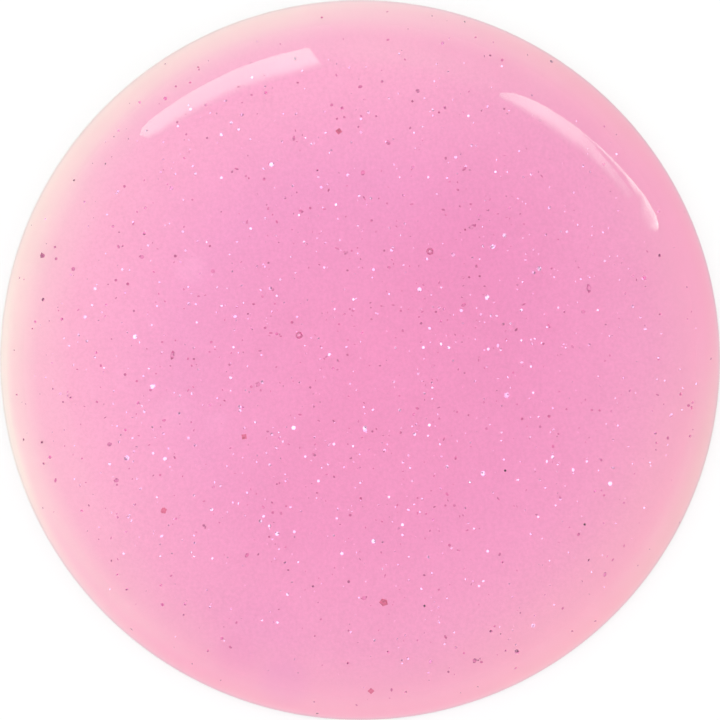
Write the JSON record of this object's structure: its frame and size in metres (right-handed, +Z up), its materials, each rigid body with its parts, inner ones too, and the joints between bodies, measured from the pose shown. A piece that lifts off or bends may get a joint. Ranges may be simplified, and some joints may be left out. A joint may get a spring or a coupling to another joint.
{
  "type": "glitter gel drop",
  "caption": "Round domed drop of clear pink gel with foil glitter and air bubbles set in it, flat underneath, lying free on a flat surface.",
  "frame": {"origin": "centre of the flat underside", "axes": "+Z up through the crown, +X to the right and +Y to the top of the picture, which looks straight down"},
  "size_m": [0.015, 0.015, 0.0024],
  "materials": {
    "gel": "clear set gel, tinted pink, wet gloss",
    "silver_foil": "bright foil",
    "rose_foil": "tinted foil, satin",
    "red_foil": "tinted foil, satin",
    "black_pigment": "matt"
  },
  "bodies": {
    "root": {"gel_drop": "gel", "silver_flakes_coarse": "silver_foil", "silver_flakes_medium": "silver_foil", "silver_flakes_fine": "silver_foil", "rose_flakes_coarse": "rose_foil", "rose_flakes_medium": "rose_foil", "rose_flakes_fine": "rose_foil", "red_flakes": "red_foil", "black_specks": "black_pigment"}
  },
  "joints": []
}
